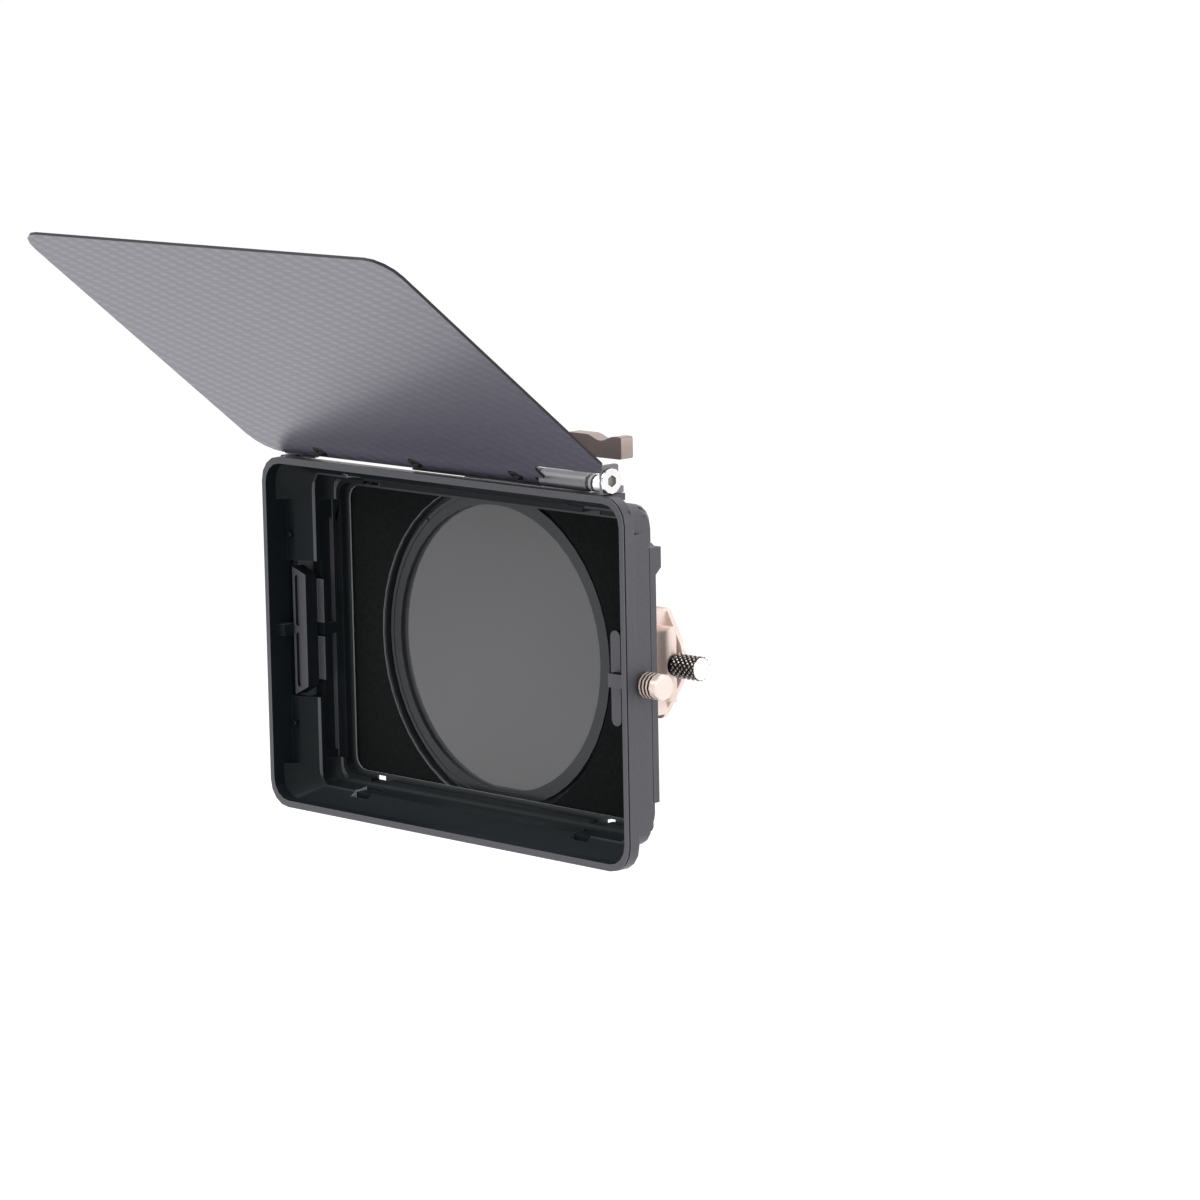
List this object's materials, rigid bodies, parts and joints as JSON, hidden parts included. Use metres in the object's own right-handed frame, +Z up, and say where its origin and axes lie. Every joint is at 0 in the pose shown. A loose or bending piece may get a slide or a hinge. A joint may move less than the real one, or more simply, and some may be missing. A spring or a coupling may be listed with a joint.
{
  "type": "matte box",
  "caption": "Clip-on lens shade with a rectangular hood, tilting top flag, drop-in filter tray with turning round filter, sprung plate-filter latches and a lens clamp ring.",
  "frame": {"origin": "on the optical axis, in the plane of the lens clamp ring's rear face", "axes": "+X across the hood towards the release pin, +Y back along the optical axis towards the lens, +Z up; the hood opens towards -Y"},
  "size_m": [0.18, 0.1419, 0.1994],
  "materials": {
    "moulded_black": "fine moulded texture, semi-matt",
    "anodised_black": "black anodised, satin",
    "screw_black": "black oxide",
    "flocked_black": "flocked, matt",
    "carbon_fibre": "woven carbon plate, satin lacquer",
    "champagne_anodised": "champagne anodised, satin",
    "bronze_anodised": "bronze anodised, satin",
    "gunmetal": "gunmetal anodised, satin",
    "bright_steel": "bright turned",
    "spring_steel": "bright wire",
    "smoked_glass": "neutral grey, polished",
    "black_rubber": "matt"
  },
  "bodies": {
    "hood": {"hood_frame": "moulded_black", "right_side_cover": "moulded_black", "left_side_cover": "moulded_black", "rear_housing": "moulded_black", "mask_plate": "anodised_black", "clamp_collar": "anodised_black", "side_cover_screw_1": "screw_black", "side_cover_screw_2": "screw_black", "side_cover_screw_3": "screw_black", "side_cover_screw_4": "screw_black", "housing_screw_1": "screw_black", "housing_screw_2": "screw_black", "housing_screw_3": "screw_black", "housing_screw_4": "screw_black", "collar_screw_1": "screw_black", "collar_screw_2": "screw_black", "collar_screw_3": "screw_black", "collar_screw_4": "screw_black", "clamp_block_screw_1": "screw_black", "clamp_block_screw_2": "screw_black", "hinge_bracket_screw_1": "screw_black", "hinge_bracket_screw_2": "screw_black", "clamp_block": "champagne_anodised", "hinge_bracket_right": "gunmetal", "hinge_bracket_left": "gunmetal", "hinge_shaft": "bright_steel", "hinge_lock_screw": "bright_steel", "release_pin_spring": "spring_steel", "left_latch_spring_1": "spring_steel", "left_latch_spring_2": "spring_steel", "hinge_pin_left": "spring_steel", "hinge_seal_ring": "black_rubber"},
    "flag": {"top_flag": "carbon_fibre", "flag_hinge_bar": "anodised_black", "flag_hinge_knuckle": "anodised_black", "flag_hinge_barrel": "gunmetal", "flag_screw_1": "screw_black", "flag_screw_2": "screw_black", "flag_screw_3": "screw_black"},
    "tray": {"tray_frame": "anodised_black", "tray_front_board": "flocked_black", "tray_handle": "bronze_anodised", "filter_base_ring": "anodised_black", "tray_handle_screw_1": "screw_black", "tray_handle_screw_2": "screw_black"},
    "round_filter": {"filter_turning_ring": "anodised_black", "filter_glass": "smoked_glass", "glass_retaining_ring": "anodised_black"},
    "release_pin": {"release_pull_pin": "champagne_anodised", "right_filter_latch": "moulded_black"},
    "left_latch": {"left_filter_latch": "moulded_black"},
    "thumbscrew": {"clamp_thumbscrew": "gunmetal"},
    "jaw": {"clamp_jaw": "black_rubber"}
  },
  "joints": [
    {"name": "flag_tilt", "type": "hinge", "parent": "hood", "child": "flag", "pos_m": [0, -0.041, 0.06225], "axis": [1, 0, 0], "range_deg": [-50, 44]},
    {"name": "tray_slide", "type": "slide", "parent": "hood", "child": "tray", "axis": [0, 0, 1], "range_m": [0, 0.115]},
    {"name": "filter_turn", "type": "hinge", "parent": "tray", "child": "round_filter", "pos_m": [0, -0.017, -0.0004], "axis": [0, 1, 0], "continuous": true},
    {"name": "pin_pull", "type": "slide", "parent": "hood", "child": "release_pin", "axis": [1, 0, 0], "range_m": [0, 0.0036], "stiffness_N_per_m": 700, "springref_m": -0.004, "deforming": ["release_pin_spring"]},
    {"name": "left_latch_slide", "type": "slide", "parent": "hood", "child": "left_latch", "axis": [-1, 0, 0], "range_m": [0, 0.0025], "stiffness_N_per_m": 700, "springref_m": -0.004, "deforming": ["left_latch_spring_1", "left_latch_spring_2"]},
    {"name": "thumbscrew_turn", "type": "hinge", "parent": "hood", "child": "thumbscrew", "pos_m": [0.07, -0.0054, 0], "axis": [-1, 0, 0], "range_deg": [0, 900]},
    {"name": "jaw_slide", "type": "slide", "parent": "hood", "child": "jaw", "axis": [-1, 0, 0], "range_m": [0, 0.0025]}
  ],
  "couplings": [
    {"joint": "thumbscrew_turn", "follows": "jaw_slide", "rad_per_m": 6283.2}
  ]
}
